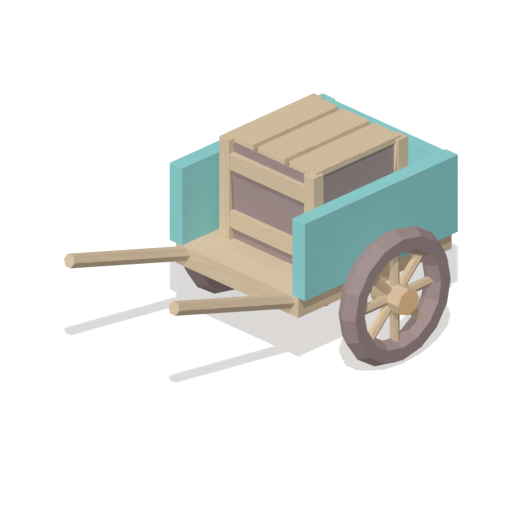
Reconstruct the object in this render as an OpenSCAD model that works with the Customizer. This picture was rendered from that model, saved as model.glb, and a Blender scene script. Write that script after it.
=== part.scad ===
// Two-wheeled timber hand cart with a lift-off slatted crate.
// Millimetres. X points forward along the shafts, Y to the left, Z up.
// The origin is on the ground, at the middle of the overall length and width.

/* [Bed] */
// Length of the bed, front face to rear face
bed_len = 976; // [900:1:1200]
// Width of the bed
bed_w = 780; // [740:1:960]
// Thickness of the bed frame
bed_th = 99; // [90:1:130]
// Depth of the front rail, measured along the cart
front_rail_w = 130; // [115:1:150]
// Depth of the rear rail, measured along the cart
rear_rail_w = 60; // [56:1:90]
// Width of each sill, measured across the cart
sill_w = 80; // [70:1:90]
// Thickness of the floor boards
floor_th = 30; // [20:1:40]
// Number of floor boards
floor_count = 6; // [4:1:8]
// Length of each bearer under the floor, measured along the cart
bearer_w = 60; // [40:1:80]

/* [Side boards] */
// Thickness of each side board
side_th = 79; // [70:1:100]
// Height of the side boards above the bed
side_h = 391; // [300:1:480]
// How far a side board stands out past the side of the bed
side_overhang = 40; // [20:1:45]

/* [Tailboard] */
// Thickness of the tailboard
tail_th = 57; // [40:1:70]
// Distance from the rear end of the bed to the tailboard
tail_inset = 12; // [10:1:30]
// Depth of the grooves that hold the tailboard
tail_groove = 14; // [8:1:25]
// Clearance round the tailboard in its grooves
tail_clear = 1; // [0.5:0.1:2]
// Width of the tailboard's rails and stiles
tail_rail_h = 60; // [50:1:80]
// Thickness of the panel in the tailboard's frame
tail_panel_th = 25; // [18:1:30]

/* [Crate] */
// Side of the square crate over its posts
crate_w = 602; // [480:1:620]
// Height of the crate posts
crate_h = 505; // [420:1:620]
// Side of each square post
post_w = 63; // [50:1:80]
// Share of a post's width that stands in front of the panels
panel_setback = 0.476; // [0.4:0.002:0.5]
// Thickness of the panels
panel_th = 15; // [10:1:18]
// Share of the post behind the panels that their grooves cut away
groove_share = 0.55; // [0.3:0.05:0.8]
// Height of each batten
batten_h = 83; // [60:1:100]
// Distance from the post faces in to the battens
batten_recess = 5; // [2:1:10]
// Height of the lower battens above the floor
batten_low = 65; // [40:1:80]
// Distance from the top of the upper battens up to the post tops
batten_drop = 67; // [50:1:100]
// Thickness of the crate's floor boards
crate_floor_th = 20; // [12:1:25]

/* [Crate lid] */
// Thickness of the lid planks
plank_th = 29; // [24:1:36]
// Gap between the lid planks
plank_gap = 29; // [20:1:40]
// Height of the plank tops above the post tops
plank_rise = 12; // [8:1:16]
// Distance from the crate's sides in to the outer planks
plank_inset = 15.5; // [10:0.5:20]
// Clearance round the post tops in the lid's housings
lid_clear = 1; // [0.5:0.1:2]
// Width of the cleats under the lid
cleat_w = 60; // [40:1:80]

/* [Shafts] */
// Size of a shaft across its corners
shaft_across = 69; // [56:1:76]
// Distance between the two shafts, centre to centre
shaft_spacing = 666; // [600:1:680]
// Horizontal length of a shaft in front of the bed
shaft_run = 735; // [600:1:900]
// Upward slope of the shafts in degrees
shaft_slope = 17.1; // [12:0.1:20]
// Depth of the shaft's centre line below the bed top, at the bed's front face
shaft_drop = 32; // [32:1:44]
// Diameter of the round tenon at the root of a shaft
shaft_tenon_d = 42; // [30:1:46]

/* [Wheels] */
// Radius to the middle of the rim's section
rim_r = 273; // [240:1:300]
// Side of the rim's six-sided section
rim_side = 62; // [54:1:70]
// Clearance between a rim and the side board
wheel_gap = 26; // [20:1:60]
// Depth of the felloes' housings for the spokes
spoke_housing = 39; // [30:1:45]
// Size of a spoke across its corners
spoke_across = 47; // [36:1:50]
// Size of the hub across its corners
hub_across = 132; // [124:1:150]
// Length of the hub with its cap
hub_len = 180; // [170:1:220]
// Thickness of the hub cap
hub_cap_th = 12; // [8:1:16]

/* [Axle] */
// Distance of the axle behind the middle of the bed
axle_back = 5; // [0:1:20]
// Side of the square axle bar
axle_bar = 45; // [38:1:50]
// Diameter of the journals that the wheels turn on
journal_d = 32; // [26:1:34]
// Diameter of the threaded end of the axle
stud_d = 24; // [18:1:25]
// Radial running clearance of the journals in the bushes
journal_clear = 0.05; // [0.02:0.01:0.09]
// Thickness of the axle washers
axle_washer_th = 4; // [3:0.5:6]
// End play of a wheel on its journal
wheel_play = 1; // [0.5:0.1:2]

/* [Fasteners] */
// Diameter of the coach screws that hold the side boards and the axle
screw_d = 12; // [10:1:16]
// Diameter of the timber pegs
peg_d = 14; // [10:1:18]

/* [Hidden] */

eps = 1;
fit = 0.1;

timber = [0.81, 0.73, 0.62];
timber_dark = [0.68, 0.58, 0.47];
paint_teal = [0.58, 0.76, 0.76];
paint_mauve = [0.47, 0.40, 0.40];
iron = [0.35, 0.35, 0.37];
bronze = [0.70, 0.52, 0.28];

// Wheel: eight spokes, and two rim facets to each felloe
spoke_count = 8;
facet_count = 2 * spoke_count;
facet_step = 360 / facet_count;
spoke_step = 360 / spoke_count;
rim_w = 2 * rim_side * sin(60);
wheel_r = rim_r + rim_side;
spoke_r = spoke_across / 2;
spoke_apothem = spoke_r * cos(30);
hub_r = hub_across / 2;
rim_y = bed_w / 2 + side_overhang + wheel_gap + rim_w / 2;
spoke_root_gap = 5;
spoke_root_r = spoke_apothem / tan(spoke_step / 2) + spoke_root_gap;
spoke_tip_r = rim_r - rim_side + spoke_housing;
spoke_tenon_d = 24;
spoke_tip_tenon = 40;
spoke_start_r = spoke_tenon_d / 2 / tan(spoke_step / 2) + spoke_root_gap;
spoke_end_r = spoke_tip_r + spoke_tip_tenon;
dowel_d = 14;
dowel_len = 56;

// Hub, bushes and the end of the axle
bush_wall = 5;
hub_relief = 2;
bush_len = 50;
bush_bore_r = journal_d / 2 + journal_clear;
bush_r = journal_d / 2 + bush_wall;
hub_inner_y = rim_y - hub_len / 2;
hub_outer_y = rim_y + hub_len / 2;
hub_end_y = hub_outer_y - hub_cap_th;
nut_across = 1.5 * stud_d;
nut_th = 0.8 * stud_d;
stud_spare = 5;
cap_spigot = 8;
pocket_depth = wheel_play + axle_washer_th + nut_th + 2 * stud_spare + cap_spigot;
pocket_y = hub_end_y - pocket_depth;
pocket_r = 40;
axle_washer_r = 30;
shoulder_y = hub_inner_y - wheel_play - axle_washer_th;
journal_end_y = pocket_y + wheel_play;
nut_y = journal_end_y + axle_washer_th;
stud_end_y = nut_y + nut_th + stud_spare;

// Heights above the ground
axle_z = wheel_r;
bed_under = axle_z + axle_bar / 2;
bed_top = bed_under + bed_th;

// Lengths along the cart
shaft_r = shaft_across / 2;
shaft_apothem = shaft_r * cos(30);
shaft_reach = shaft_run + shaft_apothem * sin(shaft_slope);
shaft_len = shaft_run / cos(shaft_slope);
total_len = bed_len + shaft_reach;
bed_front_x = total_len / 2 - shaft_reach;
bed_mid_x = bed_front_x - bed_len / 2;
bed_rear_x = bed_front_x - bed_len;
axle_x = bed_mid_x - axle_back;
sill_front_x = bed_front_x - front_rail_w;
sill_rear_x = bed_rear_x + rear_rail_w;
sill_y = bed_w / 2 - sill_w / 2;
tail_x = bed_rear_x + tail_inset;
tail_tongue = 10;
sill_tenon_len = 45;
tenon_gap = 15;
shaft_tenon_len = front_rail_w - sill_tenon_len - tenon_gap;
shaft_peg_x = bed_front_x - shaft_tenon_len / 2;
sill_tenon_w = 40;
sill_tenon_h = 40;
peg_blind = 25;
floor_w = bed_w - 2 * sill_w;
bearer_h = 60;
bearer_tongue = 20;
bearer_x = [
  sill_front_x - bearer_w / 2,
  axle_x + axle_bar + bearer_w,
  sill_rear_x + bearer_w / 2
];

// Side boards and what holds them
side_in_y = bed_w / 2 + side_overhang - side_th;
side_screw_y = (side_in_y + bed_w / 2) / 2;
side_screw_grip = 120;
side_screw_margin = 60;
screw_head_th = 0.65 * screw_d;
screw_head_across = 1.8 * screw_d;
washer_r = 1.5 * screw_d;
washer_th = 3;
tail_w = 2 * (side_in_y + tail_groove - tail_clear);
tail_stile_y = tail_w / 2 - tail_rail_h / 2;
tail_low_z = bed_top + tail_rail_h;
tail_high_z = bed_top + side_h - tail_rail_h;
tail_tenon = 30;
tail_cheek = 12;

// Straps that hold the axle under the sills
strap_th = 5;
strap_w = 40;
strap_flange = 36;
strap_reach = axle_bar / 2 + strap_th + strap_flange;
strap_screw_x = strap_reach - strap_flange / 2;
strap_screw_grip = 60;
side_screw_pos = [
  sill_rear_x + side_screw_margin,
  axle_x - strap_reach - side_screw_margin,
  axle_x + strap_reach + side_screw_margin,
  sill_front_x - side_screw_margin
];

// Crate and lid
crate_half = crate_w / 2;
panel_recess = post_w * panel_setback;
panel_groove = (post_w - panel_recess - panel_th) * groove_share;
panel_out = crate_half - panel_recess;
panel_in = panel_out - panel_th;
panel_half_len = crate_half - post_w + panel_groove;
post_in = crate_half - post_w;
crate_lift = 2;
panel_top = crate_h + plank_rise - plank_th;
lid_under = bed_top + panel_top;
batten_th = panel_recess - batten_recess;
batten_high = crate_h - batten_drop - batten_h;
batten_tenon = 12;
batten_cheek = batten_th / 5;
plank_w = (crate_w - 2 * plank_inset - 2 * plank_gap) / 3;
plank_half_len = panel_out;
cleat_th = 25;
cleat_margin = 10;
cleat_x = post_in - cleat_w / 2 - cleat_margin;
lid_screw_d = 5;
lid_screw_len = cleat_th + plank_th / 2;
crate_board_count = 5;
crate_board_gap = 3;

// ---------- shapes that repeat ----------

// Block from its lowest corner to its highest corner
module block(lo, hi) {
  translate(lo) cube(hi - lo);
}

// Round bar along Z from one height to another
module bar_z(x, y, z0, z1, r) {
  translate([x, y, z0]) cylinder(r = r, h = z1 - z0, $fn = 48);
}

// Round bar along Y, on the axle's centre line
module bar_y(y0, y1, r) {
  translate([axle_x, y0, axle_z]) rotate([-90, 0, 0]) cylinder(r = r, h = y1 - y0, $fn = 64);
}

// Many-sided bar along Y on the axle's centre line, with corners up and down
module facet_bar_y(y0, y1, r, sides) {
  translate([axle_x, y0, axle_z])
    rotate([-90, 0, 0])
      rotate([0, 0, 90]) cylinder(r = r, h = y1 - y0, $fn = sides);
}

// Copies its children on both sides of the cart
module both_sides() {
  children();
  mirror([0, 1, 0]) children();
}

// Hexagonal-headed coach screw pointing up, with its head under z
module coach_screw(x, y, z, grip) {
  bar_z(x, y, z - eps, z + grip, screw_d / 2);
  translate([x, y, z - screw_head_th]) cylinder(d = screw_head_across, h = screw_head_th, $fn = 6);
}

// ---------- bed ----------

// End of the sills at the front (1) or the rear (-1)
function sill_end_x(x_sign) = x_sign > 0 ? sill_front_x : sill_rear_x;

// Tenon at one end of a sill; grow widens it
module sill_tenon(x_sign, y_sign, grow) {
  x_mid = sill_end_x(x_sign) + x_sign * (sill_tenon_len - eps) / 2;
  translate([x_mid, y_sign * sill_y, bed_under + bed_th / 2])
    cube([sill_tenon_len + eps, sill_tenon_w + 2 * grow, sill_tenon_h + 2 * grow], center = true);
}

// Vertical peg that pins a sill's tenon, driven from below; grow widens it
module frame_peg(x_sign, y_sign, grow) {
  x = sill_end_x(x_sign) + x_sign * sill_tenon_len / 2;
  bar_z(x, y_sign * sill_y, bed_under, bed_top - peg_blind, peg_d / 2 + grow);
}

// Cross rail of the bed from x0 to x1, at the front (1) or the rear (-1)
module rail_blank(x0, x1, x_sign) {
  difference() {
    block([x0, -bed_w / 2, bed_under], [x1, bed_w / 2, bed_top]);
    for (y_sign = [-1, 1]) sill_tenon(x_sign, y_sign, fit);
    for (y_sign = [-1, 1]) frame_peg(x_sign, y_sign, fit);
  }
}

// Places its children on a shaft's centre line, with Z along the shaft
module on_shaft(y_sign) {
  translate([bed_front_x, y_sign * shaft_spacing / 2, bed_top - shaft_drop])
    rotate([0, 90 - shaft_slope, 0]) children();
}

module shaft_peg(y_sign, grow) {
  bar_z(shaft_peg_x, y_sign * shaft_spacing / 2, bed_under, bed_top - peg_blind, peg_d / 2 + grow);
}

module front_rail() {
  color(timber)
    difference() {
      rail_blank(sill_front_x, bed_front_x, 1);
      for (y_sign = [-1, 1])
        on_shaft(y_sign)
          translate([0, 0, -shaft_tenon_len])
            cylinder(d = shaft_tenon_d + 2 * fit, h = 2 * shaft_tenon_len, $fn = 64);
      for (y_sign = [-1, 1]) shaft_peg(y_sign, fit);
    }
}

module rear_rail() {
  color(timber) rail_blank(bed_rear_x, sill_rear_x, -1);
}

module sill(y_sign) {
  y_in = y_sign * (bed_w / 2 - sill_w);
  y_out = y_sign * bed_w / 2;
  color(timber)
    difference() {
      union() {
        block([sill_rear_x, min(y_in, y_out), bed_under], [sill_front_x, max(y_in, y_out), bed_top]);
        for (x_sign = [-1, 1]) sill_tenon(x_sign, y_sign, 0);
      }
      for (x_sign = [-1, 1]) frame_peg(x_sign, y_sign, fit);
      for (x = side_screw_pos)
        bar_z(x, y_sign * side_screw_y, bed_under - eps, bed_top + eps, screw_d / 2 + fit);
      for (x_sign = [-1, 1])
        bar_z(axle_x + x_sign * strap_screw_x, y_sign * sill_y,
              bed_under - eps, bed_under + strap_screw_grip, screw_d / 2 + fit);
      for (x = bearer_x) bearer_blank(x, fit);
    }
}

// Bearer that is housed into both sills; grow widens its housings
module bearer_blank(x, grow) {
  z1 = bed_top - floor_th;
  half = floor_w / 2 + bearer_tongue;
  block([x - bearer_w / 2 - grow, -half - grow, z1 - bearer_h], [x + bearer_w / 2 + grow, half + grow, z1]);
}

module bearer(x) {
  color(timber_dark) bearer_blank(x, 0);
}

module floor_boards() {
  board = floor_w / floor_count;
  color(timber)
    for (k = [0 : floor_count - 1])
      block([sill_rear_x, -floor_w / 2 + k * board + fit, bed_top - floor_th],
            [sill_front_x, -floor_w / 2 + (k + 1) * board - fit, bed_top]);
}

module frame_pegs() {
  color(timber_dark)
    for (x_sign = [-1, 1]) for (y_sign = [-1, 1]) frame_peg(x_sign, y_sign, 0);
}

// ---------- side boards and tailboard ----------

module side_board(y_sign) {
  y_in = y_sign * side_in_y;
  y_out = y_sign * (side_in_y + side_th);
  y_floor = y_sign * (side_in_y + tail_groove);
  color(paint_teal)
    difference() {
      block([bed_rear_x, min(y_in, y_out), bed_top], [bed_front_x, max(y_in, y_out), bed_top + side_h]);
      block([tail_x - tail_clear, min(y_in - y_sign * eps, y_floor), bed_top - eps],
            [tail_x + tail_th + tail_clear, max(y_in - y_sign * eps, y_floor), bed_top + side_h + eps]);
      for (x = side_screw_pos)
        bar_z(x, y_sign * side_screw_y, bed_top - eps, bed_top + side_screw_grip, screw_d / 2 + fit);
    }
}

module side_board_screws() {
  color(iron)
    both_sides()
      for (x = side_screw_pos)
        coach_screw(x, side_screw_y, bed_under - washer_th, washer_th + bed_th + side_screw_grip);
}

module side_board_washers() {
  color(iron)
    both_sides()
      for (x = side_screw_pos)
        difference() {
          bar_z(x, side_screw_y, bed_under - washer_th, bed_under, washer_r);
          bar_z(x, side_screw_y, bed_under - washer_th - eps, bed_under + eps, screw_d / 2 + fit);
        }
}

// Panel of the tailboard with a tongue all round; grow widens the tongue's groove
module tail_panel_blank(grow) {
  half = tail_w / 2 - tail_rail_h;
  x1 = tail_x + tail_th;
  x_mid = x1 - tail_panel_th / 2;
  tongue = tail_tongue + grow;
  block([x1 - tail_panel_th, -half, tail_low_z], [x1, half, tail_high_z]);
  block([x_mid - tail_tongue / 2 - grow, -half - tongue, tail_low_z - tongue],
        [x_mid + tail_tongue / 2 + grow, half + tongue, tail_high_z + tongue]);
}

// Stile of the tailboard with a tenon at each end; grow widens the tenons' mortises
module tail_stile_blank(y_sign, grow) {
  h = tail_high_z - tail_low_z;
  tenon_w = tail_rail_h - 2 * tail_cheek;
  translate([tail_x + tail_th / 2, y_sign * tail_stile_y, tail_low_z + h / 2]) {
    cube([tail_th, tail_rail_h, h], center = true);
    cube([tail_th / 3 + 2 * grow, tenon_w + 2 * grow, h + 2 * tail_tenon], center = true);
  }
}

module tail_rail(z) {
  color(paint_teal)
    difference() {
      block([tail_x, -tail_w / 2, z], [tail_x + tail_th, tail_w / 2, z + tail_rail_h]);
      tail_panel_blank(fit);
      for (y_sign = [-1, 1]) tail_stile_blank(y_sign, fit);
    }
}

module tail_stile(y_sign) {
  color(paint_teal)
    difference() {
      tail_stile_blank(y_sign, 0);
      tail_panel_blank(fit);
    }
}

module tail_panel() {
  color(paint_teal) tail_panel_blank(0);
}

// ---------- shafts ----------

module shaft(y_sign) {
  color(timber)
    difference() {
      union() {
        difference() {
          on_shaft(y_sign)
            rotate([0, 0, 90])
              translate([0, 0, -shaft_r]) cylinder(r = shaft_r, h = shaft_len + shaft_r, $fn = 6);
          block([bed_front_x - 2 * shaft_across, -bed_w, bed_under - shaft_across],
                [bed_front_x, bed_w, bed_top + shaft_across]);
        }
        on_shaft(y_sign)
          translate([0, 0, -shaft_tenon_len])
            cylinder(d = shaft_tenon_d, h = shaft_tenon_len + shaft_r, $fn = 64);
      }
      shaft_peg(y_sign, fit);
    }
}

module shaft_pegs() {
  color(timber_dark)
    for (y_sign = [-1, 1]) shaft_peg(y_sign, 0);
}

// ---------- axle ----------

module axle() {
  color(iron) {
    block([axle_x - axle_bar / 2, -shoulder_y, axle_z - axle_bar / 2],
          [axle_x + axle_bar / 2, shoulder_y, axle_z + axle_bar / 2]);
    both_sides() bar_y(shoulder_y - eps, journal_end_y, journal_d / 2);
    both_sides() bar_y(journal_end_y - eps, stud_end_y, stud_d / 2);
  }
}

module axle_straps() {
  x_in = axle_bar / 2;
  x_out = x_in + strap_th;
  z_low = axle_z - axle_bar / 2;
  color(iron)
    both_sides()
      translate([axle_x, sill_y - strap_w / 2, 0])
        difference() {
          union() {
            block([-x_out, 0, z_low - strap_th], [x_out, strap_w, bed_under]);
            block([-x_out - strap_flange, 0, bed_under - strap_th],
                  [x_out + strap_flange, strap_w, bed_under]);
          }
          block([-x_in, -eps, z_low], [x_in, strap_w + eps, bed_under + eps]);
          for (x_sign = [-1, 1])
            bar_z(x_sign * strap_screw_x, strap_w / 2, bed_under - strap_th - eps, bed_under + eps,
                  screw_d / 2 + fit);
        }
}

module axle_strap_screws() {
  color(iron)
    both_sides()
      for (x_sign = [-1, 1])
        coach_screw(axle_x + x_sign * strap_screw_x, sill_y, bed_under - strap_th,
                    strap_th + strap_screw_grip);
}

module axle_inner_washers() {
  color(iron)
    both_sides()
      difference() {
        bar_y(shoulder_y, shoulder_y + axle_washer_th, axle_washer_r);
        bar_y(shoulder_y - eps, shoulder_y + axle_washer_th + eps, journal_d / 2 + fit);
      }
}

module axle_outer_washers() {
  color(iron)
    both_sides()
      difference() {
        bar_y(journal_end_y, nut_y, axle_washer_r);
        bar_y(journal_end_y - eps, nut_y + eps, stud_d / 2 + fit);
      }
}

module axle_nuts() {
  color(iron)
    both_sides()
      difference() {
        facet_bar_y(nut_y, nut_y + nut_th, nut_across / sqrt(3), 6);
        bar_y(nut_y - eps, nut_y + nut_th + eps, stud_d / 2 + fit);
      }
}

// ---------- wheels, drawn for the left side and mirrored for the right ----------

// Mirrors its children to the right side when y_sign is -1
module on_side(y_sign) {
  if (y_sign > 0) children();
  else mirror([0, 1, 0]) children();
}

// Places its children on the wheel's centre, turned so that Z points along spoke k
module at_spoke(k) {
  translate([axle_x, rim_y, axle_z]) rotate([0, k * spoke_step, 0]) children();
}

// Six-sided spoke with round tenons at both ends; grow widens the tenons' holes
module spoke_blank(grow) {
  rotate([0, 0, 90])
    translate([0, 0, spoke_root_r]) cylinder(r = spoke_r, h = spoke_tip_r - spoke_root_r, $fn = 6);
  translate([0, 0, spoke_start_r])
    cylinder(d = spoke_tenon_d + 2 * grow, h = spoke_end_r - spoke_start_r, $fn = 48);
}

// Straight length of the rim's section, mitred at both ends, facing along +Z
module rim_facet() {
  shrink = cos(facet_step / 2);
  half = wheel_r * tan(facet_step / 2) + eps;
  section = [for (k = [0 : 5]) [(rim_r + rim_side * cos(60 * k)) * shrink, rim_side * sin(60 * k)]];
  wedge = [[0, 0],
           [half, half / tan(facet_step / 2)],
           [-half, half / tan(facet_step / 2)]];
  intersection() {
    rotate([0, -90, 0]) translate([0, 0, -half]) linear_extrude(2 * half) polygon(section);
    rotate([90, 0, 0]) translate([0, 0, -rim_w]) linear_extrude(2 * rim_w) polygon(wedge);
  }
}

// Dowel across the joint after felloe k; grow widens its hole
module felloe_dowel(k, grow) {
  at_spoke(k + 0.5)
    translate([-dowel_len / 2, 0, rim_r])
      rotate([0, 90, 0]) cylinder(d = dowel_d + 2 * grow, h = dowel_len, $fn = 48);
}

module hub(y_sign) {
  color(timber)
    on_side(y_sign)
      difference() {
        facet_bar_y(hub_inner_y, hub_end_y, hub_r, spoke_count);
        bar_y(hub_inner_y - eps, hub_end_y + eps, journal_d / 2 + hub_relief);
        bar_y(hub_inner_y - eps, hub_inner_y + bush_len, bush_r);
        bar_y(pocket_y - bush_len, pocket_y + eps, bush_r);
        bar_y(pocket_y, hub_end_y + eps, pocket_r);
        for (k = [0 : spoke_count - 1]) at_spoke(k) spoke_blank(fit);
      }
}

module hub_bushes(y_sign) {
  color(bronze)
    on_side(y_sign)
      for (y = [hub_inner_y, pocket_y - bush_len])
        difference() {
          bar_y(y, y + bush_len, bush_r);
          bar_y(y - eps, y + bush_len + eps, bush_bore_r);
        }
}

module hub_cap(y_sign) {
  color(timber)
    on_side(y_sign) {
      facet_bar_y(hub_end_y, hub_outer_y, hub_r, spoke_count);
      bar_y(hub_end_y - cap_spigot, hub_end_y + eps, pocket_r - fit);
    }
}

module spokes(y_sign) {
  color(timber)
    on_side(y_sign)
      for (k = [0 : spoke_count - 1]) at_spoke(k) spoke_blank(0);
}

module felloes(y_sign) {
  color(paint_mauve)
    on_side(y_sign)
      for (k = [0 : spoke_count - 1])
        difference() {
          at_spoke(k)
            for (side = [-0.5, 0.5]) rotate([0, side * facet_step, 0]) rim_facet();
          at_spoke(k) spoke_blank(fit);
          felloe_dowel(k, fit);
          felloe_dowel(k - 1, fit);
        }
}

module felloe_dowels(y_sign) {
  color(timber_dark)
    on_side(y_sign)
      for (k = [0 : spoke_count - 1]) felloe_dowel(k, 0);
}

// ---------- crate ----------

// Moves its children to the middle of the bed floor
module in_crate() {
  translate([bed_mid_x, 0, bed_top]) children();
}

// Turns its children to face the front (0), left (1), rear (2) or right (3) of the crate
module crate_side(k) {
  rotate([0, 0, 90 * k]) children();
}

// Panel facing the front, up to height z1; grow widens the grooves that hold it
module panel_blank(z1, grow) {
  block([panel_in - grow, -panel_half_len - grow, crate_lift],
        [panel_out + grow, panel_half_len + grow, z1]);
}

// Batten facing the front, with short tenons in both posts; grow widens the tenons' mortises
module batten_blank(z, grow) {
  x1 = crate_half - batten_recess;
  x0 = x1 - batten_th;
  reach = post_in + batten_tenon;
  block([x0, -post_in, z], [x1, post_in, z + batten_h]);
  block([x0 + batten_cheek - grow, -reach, z + 2 * batten_cheek - grow],
        [x1 - batten_cheek + grow, reach, z + batten_h - 2 * batten_cheek + grow]);
}

// Post at the corner given by the signs of X and Y
module post(x_sign, y_sign) {
  color(timber)
    in_crate()
      difference() {
        translate([x_sign * (crate_half - post_w / 2), y_sign * (crate_half - post_w / 2), crate_h / 2])
          cube([post_w, post_w, crate_h], center = true);
        for (k = [0 : 3]) crate_side(k) panel_blank(crate_h + eps, fit);
        for (k = [0, 2])
          crate_side(k)
            for (z = [batten_low, batten_high]) batten_blank(z, fit);
      }
}

module batten(k, z) {
  color(timber) in_crate() crate_side(k) batten_blank(z, 0);
}

module panel(k) {
  color(paint_mauve) in_crate() crate_side(k) panel_blank(panel_top, 0);
}

module crate_floor() {
  reach = panel_in;
  board = 2 * reach / crate_board_count;
  color(timber_dark)
    in_crate()
      difference() {
        for (k = [0 : crate_board_count - 1])
          block([-reach, -reach + k * board + crate_board_gap / 2, crate_lift],
                [reach, -reach + (k + 1) * board - crate_board_gap / 2, crate_lift + crate_floor_th]);
        for (x_sign = [-1, 1])
          for (y_sign = [-1, 1])
            translate([x_sign * (crate_half - post_w / 2), y_sign * (crate_half - post_w / 2), 0])
              cube([post_w + 2 * fit, post_w + 2 * fit, crate_h], center = true);
      }
}

// ---------- crate lid ----------

// Lid plank number k, counted from the right: -1, 0 or 1
module lid_plank(k) {
  y = k * (plank_w + plank_gap);
  color(timber)
    difference() {
      translate([bed_mid_x, y, lid_under + plank_th / 2])
        cube([2 * plank_half_len, plank_w, plank_th], center = true);
      in_crate()
        for (x_sign = [-1, 1])
          for (y_sign = [-1, 1])
            translate([x_sign * (crate_half - post_w / 2), y_sign * (crate_half - post_w / 2), crate_h / 2])
              cube([post_w + 2 * lid_clear, post_w + 2 * lid_clear, crate_h], center = true);
      lid_screw_shapes();
    }
}

module lid_cleat(x_sign) {
  half = panel_in - 2 * lid_clear;
  color(timber_dark)
    difference() {
      translate([bed_mid_x + x_sign * cleat_x, 0, lid_under - cleat_th / 2])
        cube([cleat_w, 2 * half, cleat_th], center = true);
      lid_screw_shapes();
    }
}

// Screws up through the cleats into the planks
module lid_screw_shapes() {
  for (x_sign = [-1, 1])
    for (k = [-1 : 1])
      for (side = [-1, 1])
        bar_z(bed_mid_x + x_sign * cleat_x, k * (plank_w + plank_gap) + side * plank_w / 4,
              lid_under - cleat_th, lid_under - cleat_th + lid_screw_len, lid_screw_d / 2);
}

module lid_screws() {
  color(iron) lid_screw_shapes();
}

front_rail();
rear_rail();
sill(1);  // sill_left
sill(-1);  // sill_right
bearer(bearer_x[0]);  // bearer_front
bearer(bearer_x[1]);  // bearer_mid
bearer(bearer_x[2]);  // bearer_rear
floor_boards();
side_board(1);  // side_board_left
side_board(-1);  // side_board_right
side_board_screws();
side_board_washers();
shaft(1);  // shaft_left
shaft(-1);  // shaft_right
shaft_pegs();
frame_pegs();
axle();
axle_straps();
axle_strap_screws();
axle_inner_washers();
axle_outer_washers();
axle_nuts();
tail_rail(tail_high_z);  // tail_rail_top
tail_rail(bed_top);  // tail_rail_low
tail_stile(1);  // tail_stile_left
tail_stile(-1);  // tail_stile_right
tail_panel();
hub(1);  // hub_left
hub_bushes(1);  // hub_bushes_left
hub_cap(1);  // hub_cap_left
spokes(1);  // spokes_left
felloes(1);  // felloes_left
felloe_dowels(1);  // felloe_dowels_left
hub(-1);  // hub_right
hub_bushes(-1);  // hub_bushes_right
hub_cap(-1);  // hub_cap_right
spokes(-1);  // spokes_right
felloes(-1);  // felloes_right
felloe_dowels(-1);  // felloe_dowels_right
post(1, 1);  // post_front_left
post(1, -1);  // post_front_right
post(-1, 1);  // post_rear_left
post(-1, -1);  // post_rear_right
batten(0, batten_low);  // batten_front_low
batten(0, batten_high);  // batten_front_high
batten(2, batten_low);  // batten_rear_low
batten(2, batten_high);  // batten_rear_high
panel(0);  // panel_front
panel(2);  // panel_rear
panel(1);  // panel_left
panel(3);  // panel_right
crate_floor();
lid_plank(1);  // lid_plank_left
lid_plank(0);  // lid_plank_middle
lid_plank(-1);  // lid_plank_right
lid_cleat(1);  // lid_cleat_front
lid_cleat(-1);  // lid_cleat_rear
lid_screws();
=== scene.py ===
import math

import bpy
from mathutils import Matrix, Quaternion, Vector


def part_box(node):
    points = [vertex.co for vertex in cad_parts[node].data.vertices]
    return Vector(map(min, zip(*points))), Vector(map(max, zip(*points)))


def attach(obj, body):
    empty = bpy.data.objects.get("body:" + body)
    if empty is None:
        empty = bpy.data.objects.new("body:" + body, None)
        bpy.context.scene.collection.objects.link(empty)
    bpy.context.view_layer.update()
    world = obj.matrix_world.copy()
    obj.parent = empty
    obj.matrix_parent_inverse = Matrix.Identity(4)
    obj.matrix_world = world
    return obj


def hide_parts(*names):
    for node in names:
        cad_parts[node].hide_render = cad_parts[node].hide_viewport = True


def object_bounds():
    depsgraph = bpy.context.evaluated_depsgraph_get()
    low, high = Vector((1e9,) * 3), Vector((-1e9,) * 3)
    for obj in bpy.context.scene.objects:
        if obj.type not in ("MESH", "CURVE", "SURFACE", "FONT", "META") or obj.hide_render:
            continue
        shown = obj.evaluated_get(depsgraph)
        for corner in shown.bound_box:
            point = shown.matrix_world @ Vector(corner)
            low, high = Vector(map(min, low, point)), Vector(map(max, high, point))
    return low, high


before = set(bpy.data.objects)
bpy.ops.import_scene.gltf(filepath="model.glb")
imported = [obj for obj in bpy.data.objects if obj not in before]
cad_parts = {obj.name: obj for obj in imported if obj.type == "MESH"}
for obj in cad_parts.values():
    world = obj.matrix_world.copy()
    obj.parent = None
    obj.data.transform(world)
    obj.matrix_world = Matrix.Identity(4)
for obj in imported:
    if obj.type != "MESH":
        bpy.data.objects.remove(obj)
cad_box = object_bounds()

bl_info = {
    "name": "Timber Hand Cart",
    "version": (1, 0, 0),
    "blender": (4, 5, 0),
    "location": "View3D > Sidebar > Hand Cart",
    "description": "Builds the boards, wheels, crate and paint of a timber hand cart round its frame",
    "category": "Add Mesh",
}

MM = 0.001
X, Y, Z = Vector((1, 0, 0)), Vector((0, 1, 0)), Vector((0, 0, 1))
SIDES = {"left": 1, "right": -1}
ENDS = ("front", "rear")
SPOKE_COUNT = 8
SPOKE_STEP = 2 * math.pi / SPOKE_COUNT
SPOKE_ROOT = 0.82  # Where a spoke starts inside its hub, as a share of the hub's radius
FELLOE_FLATS = 2
HEX = 6  # Sides of the shafts, the spokes and the rims' section
HEX_FLAT = math.sin(math.pi / 3)  # From the middle of a hexagon to a flat, where a corner is at 1
CUTTER_SIDES = 64
LID_SCREWS = (0.25, 0.75)  # Places of the screws across a lid plank
END_FACE = 0.9  # A face whose normal points along the axle by more than this is an end
STEEP = 0.7  # Grain that rises by more than this is upright

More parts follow.
